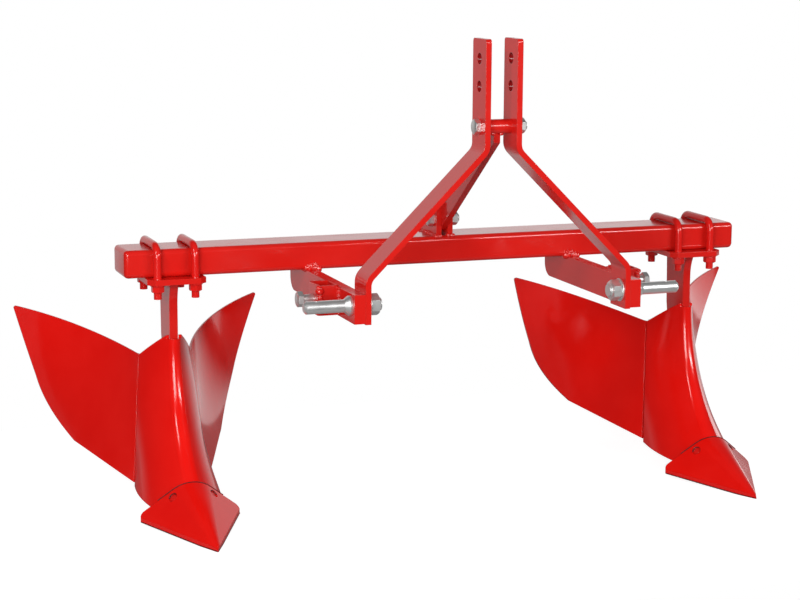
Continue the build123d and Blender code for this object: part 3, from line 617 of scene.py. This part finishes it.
def add_rod(bm, points, across, radius, sides):
    """Adds a round rod along points that lie in a plane with the normal across."""
    rings = []
    for place, point in enumerate(points):
        run = points[min(place + 1, len(points) - 1)] - points[max(place - 1, 0)]
        inward = run.normalized().cross(across)
        ring = []
        for side in range(sides):
            angle = 2 * math.pi * side / sides
            ring.append(bm.verts.new(point + radius * (math.cos(angle) * across + math.sin(angle) * inward)))
        rings.append(ring)
    for near, far in zip(rings, rings[1:]):
        for side in range(sides):
            after = (side + 1) % sides
            bm.faces.new((near[side], near[after], far[after], far[side]))
    bm.faces.new(rings[0])
    bm.faces.new(rings[-1])
    bmesh.ops.recalc_face_normals(bm, faces=bm.faces)


def hoop_path(x, middle_y, half_span, end_z, crown_z, bend):
    """The axis of a rod that runs up one side of the toolbar, over its top and down the other side."""
    half = [Vector((x, -half_span, end_z))]
    steps = 8
    for step in range(steps + 1):
        angle = math.radians(90 * step / steps)
        y = bend * (1 - math.cos(angle)) - half_span
        z = crown_z - bend * (1 - math.sin(angle))
        half.append(Vector((x, y, z)))
    whole = half + [Vector((x, -point.y, point.z)) for point in reversed(half)]
    return [point + Vector((0, middle_y, 0)) for point in whole]


plate_low, plate_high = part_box("right_clamp_plate")
body_x = (plate_low.x + plate_high.x) / 2
bar_axis_y = (bar_low.y + bar_high.y) / 2
rod_diameter = 0.014
rod_pitch = 0.0020
rod_nut_height = 0.0112
rod_thread = 0.0150
rod_half_pitch = 0.034
rod_half_span = 0.056
rod_bend = 0.020
rod_clearance = 0.0003
rod_crown_z = bar_high.z + rod_diameter / 2 + rod_clearance
rod_end_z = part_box("right_u_bolts")[0].z
rod_sides = 24
for side, way in both_sides:
    paint(section_red, f"{side}_clamp_plate")
    rods = bmesh.new()
    nuts = bmesh.new()
    threads = bmesh.new()
    for across in (-rod_half_pitch, rod_half_pitch):
        x = way * body_x + across
        axis = hoop_path(x, bar_axis_y, rod_half_span, rod_end_z, rod_crown_z, rod_bend)
        add_rod(rods, axis, Vector((1, 0, 0)), rod_diameter / 2, rod_sides)
        for along in (-rod_half_span, rod_half_span):
            y = bar_axis_y + along
            add_nut(nuts, (x, y, plate_low.z), (0, 0, -1), rod_diameter, rod_nut_height)
            tail = (x, y, rod_end_z + thread_lead)
            add_thread(threads, tail, (0, 0, 1), rod_diameter, rod_pitch, rod_thread)
    piece = new_piece(f"{side}_u_bolts_detail", rods, rod_red, f"{side}_ridger")
    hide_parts(f"{side}_u_bolts")
    piece = new_piece(f"{side}_u_bolt_nuts_detail", nuts, rod_red, f"{side}_ridger")
    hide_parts(f"{side}_u_bolt_nuts")
    new_piece(f"{side}_u_bolt_threads", threads, rod_red, f"{side}_ridger")


# The shanks: profiled from 15 mm plate and stood on edge under the clamp plates. Each is welded to its plate
# with a bead along both sides, painted over with the rest.
def on_body(way, hand, point):
    """A point given from a body's middle, on the body that way names and on the half that hand names."""
    return Vector((way * body_x, 0, 0)) + mirrored(hand, point)


shank_half = 0.0075
shank_seam_front_y = -0.0210
shank_seam_rear_y = 0.0610
shank_leg = 0.0038
for side, way in both_sides:
    paint(section_red, f"{side}_shank")
    bm = bmesh.new()
    for hand in (-1, 1):
        start = on_body(way, hand, (shank_half, shank_seam_front_y, plate_low.z))
        end = on_body(way, hand, (shank_half, shank_seam_rear_y, plate_low.z))
        lay_bead(bm, start, end, shank_leg, 83 + way + 3 * hand)
    new_piece(f"{side}_shank_welds", bm, weld_red_painted_glint, f"{side}_ridger")


# The shares: 6 mm steel folded into a point that widens from front to back, bolted to a frog on the shank's
# foot. The coat on all the sheet work is a lighter copy of the red, as painted light, and its cut edges are
# painted near black, as painted shade. Thin lines of painted shadow lie along the rear edge, where it laps
# the nose, round the sunk heads of the two plough bolts, and along the cutting edge, where it meets the
# ground.
# A lighter red than the rest, as painted light, with a near black rim that is painted shade on edges.
lit_sheet_red_shaded_edges = red_coat(
    "red_coat_on_sheet_painted_lit_shaded_edges", deep=(0.79, 0.005, 0.003), pale=(0.87, 0.009, 0.005), rim=(0.06, 0.001, 0.001),
    roughness=0.15, edge=0.0014, dimple=0.06
)
# A dark red that is painted shadow, for thin lines along the gaps and the cutting edge.
shadow_red = red_coat(
    "painted_shadow_in_gaps", deep=(0.12, 0.003, 0.003), pale=(0.16, 0.005, 0.004), rim=(0.16, 0.005, 0.004),
    roughness=0.50, edge=0.0002, dimple=0.05
)
m10 = 0.010
m10_pitch = 0.0015
m10_nut_height = 0.008
share_bolt_spot = Vector((0.037, -0.13953, 0.05445))
share_bolt_axis = Vector((0.649257, -0.338228, 0.681225))
share_bolt_profile = (
    (0, -0.0012), (0.0040, -0.0013), (0.0066, -0.0019), (0.0050, -0.0040), (0.0050, -0.0255),
    (0.0042, -0.0263), (0, -0.0263)
)
share_bolt_grip = 0.014
share_rear_axis = Vector((0.0, 0.924, 0.383))
share_rear_up = Vector((0.0, -0.383, 0.924))
share_crown = Vector((0.0, -0.1321, 0.0758))
share_tip = Vector((0.0006, -0.3050, 0.0013))
share_heel = Vector((0.0194, -0.2653, 0.0013))
share_corner = Vector((0.0889, -0.1175, 0.0083))
cutting_edge_axis = Vector((0.903, -0.429, 0.0))
cutting_edge_line = 0.0010
fold_radius = 0.0502
fold_half_angle = 40.3
rear_straight = 0.0345
lap_depth = 0.0012
lap_line = 0.0008
crescent_radius = 0.0074
crescent_half_angle = 75
crescent_depth = 0.0004
crescent_line = 0.0011
arc_steps = 6
line_sides = 8


def share_rear_edge():
    """The share's rear edge: an arc over its fold and a straight run down each side."""
    side_axis = Vector((1.0, 0.0, 0.0))
    centre = share_crown - fold_radius * share_rear_up
    edge = []
    for step in range(-arc_steps, arc_steps + 1):
        angle = math.radians(fold_half_angle * step / arc_steps)
        edge.append(centre + fold_radius * (math.sin(angle) * side_axis + math.cos(angle) * share_rear_up))
    slope = math.radians(fold_half_angle)
    out = math.cos(slope) * side_axis
    down = math.sin(slope) * share_rear_up
    left_end = edge[0] - rear_straight * (out + down)
    right_end = edge[-1] + rear_straight * (out - down)
    return [left_end, *edge, right_end]


def crescent(spot, axis):
    """The line of painted shadow round the upper side of a sunk bolt head."""
    upward = (share_rear_axis - share_rear_axis.dot(axis) * axis).normalized()
    arc = []
    for step in range(-arc_steps, arc_steps + 1):
        turn = Matrix.Rotation(math.radians(crescent_half_angle * step / arc_steps), 3, axis)
        arc.append(spot + crescent_radius * (turn @ upward) - crescent_depth * axis)
    return arc


for side, way in both_sides:
    paint(lit_sheet_red_shaded_edges, f"{side}_share")
    paint(section_red, f"{side}_frog")
    bolts = bmesh.new()
    gaps = bmesh.new()
    lap = Vector((way * body_x, 0.0, 0.0)) + lap_depth * share_rear_axis
    add_rod(gaps, [lap + point for point in share_rear_edge()], share_rear_axis, lap_line, line_sides)
    for hand in (-1, 1):
        spot = on_body(way, hand, share_bolt_spot)
        axis = mirrored(hand, share_bolt_axis)
        add_turned(bolts, share_bolt_profile, stand(spot, axis))
        add_nut(bolts, spot - share_bolt_grip * axis, -axis, m10, m10_nut_height)
        add_rod(gaps, crescent(spot, axis), axis, crescent_line, line_sides)
        cutting_edge = [on_body(way, hand, point) for point in (share_tip, share_heel, share_corner)]
        add_rod(gaps, cutting_edge, mirrored(hand, cutting_edge_axis), cutting_edge_line, line_sides)
    piece = new_piece(f"{side}_share_bolts_detail", bolts, rod_red, f"{side}_ridger")
    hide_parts(f"{side}_share_bolts")
    new_piece(f"{side}_share_painted_shadow_lines", gaps, shadow_red, f"{side}_ridger")


# The noses: 4.5 mm sheet rolled into a cone round the front of each shank and welded to it, with a hinge at
# each rear edge for the wings. Two slotted quadrants on the shank lock the wings; hinge pins are bare zinc.
for side in ("left", "right"):
    # The noses take the sheet coat: a lighter red as painted light, with painted shade on their edges.
    paint(lit_sheet_red_shaded_edges, f"{side}_nose")
    paint(section_red, f"{side}_nose_hinges", f"{side}_quadrants")
    paint(pressed_zinc, f"{side}_hinge_pins")


# The wings: mouldboards of 4 mm sheet, rolled to a twist that turns the soil out and over, each hung on the
# nose by two welded hinges. A bracket behind each wing carries the zinc-plated bolt that locks it along its
# quadrant.
lock_seat = Vector((0.0350, 0.09197, 0.13719))
lock_axis = Vector((-0.094104, 0.161936, 0.982304))
lock_bolt_length = 0.0275
lock_bolt_thread = 0.014
bracket_thickness = 0.006
quadrant_thickness = 0.008
for side, way in both_sides:
    for hand_name, hand in both_sides:
        body = f"{side}_ridger_{hand_name}_wing"
        # The wings take the sheet coat: a lighter red as painted light, with painted shade on their edges.
        paint(lit_sheet_red_shaded_edges, f"{side}_wing_{hand_name}")
        paint(section_red, f"{side}_wing_hinge_{hand_name}", f"{side}_wing_bracket_{hand_name}")
        seat = on_body(way, hand, lock_seat)
        axis = mirrored(hand, lock_axis)
        bm = bmesh.new()
        head = seat + bracket_thickness * axis
        add_bolt(bm, head, axis, m10, lock_bolt_length, m10_pitch, lock_bolt_thread)
        add_nut(bm, seat - quadrant_thickness * axis, -axis, m10, m10_nut_height)
        bolt = new_piece(f"{side}_lock_bolt_{hand_name}_detail", bm, pressed_zinc, body)
        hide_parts(f"{side}_lock_bolt_{hand_name}")


# The floor: matt white studio paper, lit so that it nearly runs into the white wall behind it. It keeps a
# very faint shadow under the shares and wings.
floor_half_width = 1.25
floor_half_depth = 0.70
floor_middle_y = -0.05
floor_paper = bpy.data.materials.new("white_paper")
floor_paper.use_nodes = True
tree = floor_paper.node_tree
shader = tree.nodes["Principled BSDF"]
shader.inputs["Base Color"].default_value = (0.34, 0.34, 0.34, 1.0)
shader.inputs["Roughness"].default_value = 0.9
shader.inputs["Specular IOR Level"].default_value = 0.1
shader.inputs["Emission Color"].default_value = (1.0, 1.0, 1.0, 1.0)
ray = tree.nodes.new("ShaderNodeLightPath")
seen = tree.nodes.new("ShaderNodeMath")
seen.operation = "MULTIPLY"
seen.inputs[1].default_value = 0.90
tree.links.new(ray.outputs["Is Camera Ray"], seen.inputs[0])
tree.links.new(seen.outputs["Value"], shader.inputs["Emission Strength"])
bm = bmesh.new()
spread = Matrix.Diagonal((floor_half_width, floor_half_depth, 1.0, 1.0))
bmesh.ops.create_grid(bm, x_segments=2, y_segments=2, size=1.0, matrix=spread)
bmesh.ops.translate(bm, verts=bm.verts, vec=(0.0, floor_middle_y, 0.0))
floor_mesh = bpy.data.meshes.new("floor")
bm.to_mesh(floor_mesh)
bm.free()
floor_mesh.materials.append(floor_paper)
floor = bpy.data.objects.new("floor", floor_mesh)
scene.collection.objects.link(floor)


# The light: a large soft box low in front on the left, a tall narrow one high on the left that draws the
# streak down each nose, a wide one higher up in front on the right, and a low white card on the right that
# shows in the right wing. The studio's back wall is white and its front is dim.
def soft_box(name, spot, aim, width, height, power):
    """Adds a rectangular soft box that faces a point."""
    data = bpy.data.lights.new(name, "AREA")
    data.shape = "RECTANGLE"
    data.size = width
    data.size_y = height
    data.energy = power
    box = bpy.data.objects.new(name, data)
    scene.collection.objects.link(box)
    box.location = spot
    box.rotation_euler = (Vector(aim) - Vector(spot)).to_track_quat("-Z", "Y").to_euler()


soft_box("front_soft_box", (-2.0, -3.4, 1.05), (0.0, 0.0, 0.40), 1.8, 1.4, 90.0)
soft_box("high_soft_box", (-2.5, -1.74, 2.2), (0.0, 0.0, 0.35), 0.26, 0.9, 21.0)
soft_box("right_soft_box", (2.2, -3.3, 1.70), (0.0, 0.0, 0.40), 1.9, 0.5, 66.0)
soft_box("low_card", (1.60, 0.45, 0.05), (0.69, 0.27, 0.27), 0.75, 0.34, 1.0)

world = bpy.data.worlds.new("studio")
scene.world = world
world.use_nodes = True
tree = world.node_tree
sky = tree.nodes["Background"]
sky.inputs["Color"].default_value = (1.0, 1.0, 1.0, 1.0)
ray = tree.nodes.new("ShaderNodeLightPath")
way_out = tree.nodes.new("ShaderNodeTexCoord")
part_way = tree.nodes.new("ShaderNodeSeparateXYZ")
facing = tree.nodes.new("ShaderNodeVectorMath")
facing.operation = "DOT_PRODUCT"
facing.inputs[1].default_value = (0.10, 0.995, 0.0)
tree.links.new(way_out.outputs["Generated"], part_way.inputs["Vector"])
tree.links.new(way_out.outputs["Generated"], facing.inputs[0])


def wall_ramp(direction, fade, start, end, dim, bright):
    """The brightness of the walls along one direction, from its dim start to its bright end."""
    ramp = tree.nodes.new("ShaderNodeMapRange")
    ramp.interpolation_type = fade
    ramp.inputs["From Min"].default_value = start
    ramp.inputs["From Max"].default_value = end
    ramp.inputs["To Min"].default_value = dim
    ramp.inputs["To Max"].default_value = bright
    tree.links.new(direction, ramp.inputs["Value"])
    return ramp.outputs["Result"]


def join(operation, first, second):
    """The value of two sockets taken together."""
    joined = tree.nodes.new("ShaderNodeMath")
    joined.operation = operation
    tree.links.new(first, joined.inputs[0])
    tree.links.new(second, joined.inputs[1])
    return joined.outputs["Value"]


back_wall = wall_ramp(facing.outputs["Value"], "SMOOTHSTEP", 0.55, 0.90, 0.06, 0.95)
low_wall = wall_ramp(part_way.outputs["Z"], "SMOOTHSTEP", -0.30, 0.12, 0.70, 1.0)
side_wall = wall_ramp(part_way.outputs["X"], "LINEAR", -0.40, 0.36, 0.55, 0.97)
walls = join("MULTIPLY", join("MULTIPLY", back_wall, low_wall), side_wall)
reflected = join("MAXIMUM", ray.outputs["Is Glossy Ray"], ray.outputs["Is Transmission Ray"])
in_gloss = tree.nodes.new("ShaderNodeMix")
in_gloss.data_type = "FLOAT"
in_gloss.inputs[2].default_value = 0.23
in_view = tree.nodes.new("ShaderNodeMix")
in_view.data_type = "FLOAT"
in_view.inputs[3].default_value = 1.0
tree.links.new(reflected, in_gloss.inputs[0])
tree.links.new(walls, in_gloss.inputs[3])
tree.links.new(ray.outputs["Is Camera Ray"], in_view.inputs[0])
tree.links.new(in_gloss.outputs[0], in_view.inputs[2])
tree.links.new(in_view.outputs[0], sky.inputs["Strength"])


# The camera: a long lens in front of the implement, to its left and a little above the mast's top. It
# looks slightly down and is turned a third of a degree on its axis.
lens = bpy.data.cameras.new("camera")
lens.lens = 91.7
camera = bpy.data.objects.new("camera", lens)
scene.collection.objects.link(camera)
camera.location = (-1.3378, -3.4950, 1.0270)
pan = Matrix.Rotation(math.radians(-19.81), 4, "Z")
tilt = Matrix.Rotation(math.radians(79.71), 4, "X")
roll = Matrix.Rotation(math.radians(0.33), 4, "Z")
camera.rotation_euler = (pan @ tilt @ roll).to_euler()
scene.camera = camera
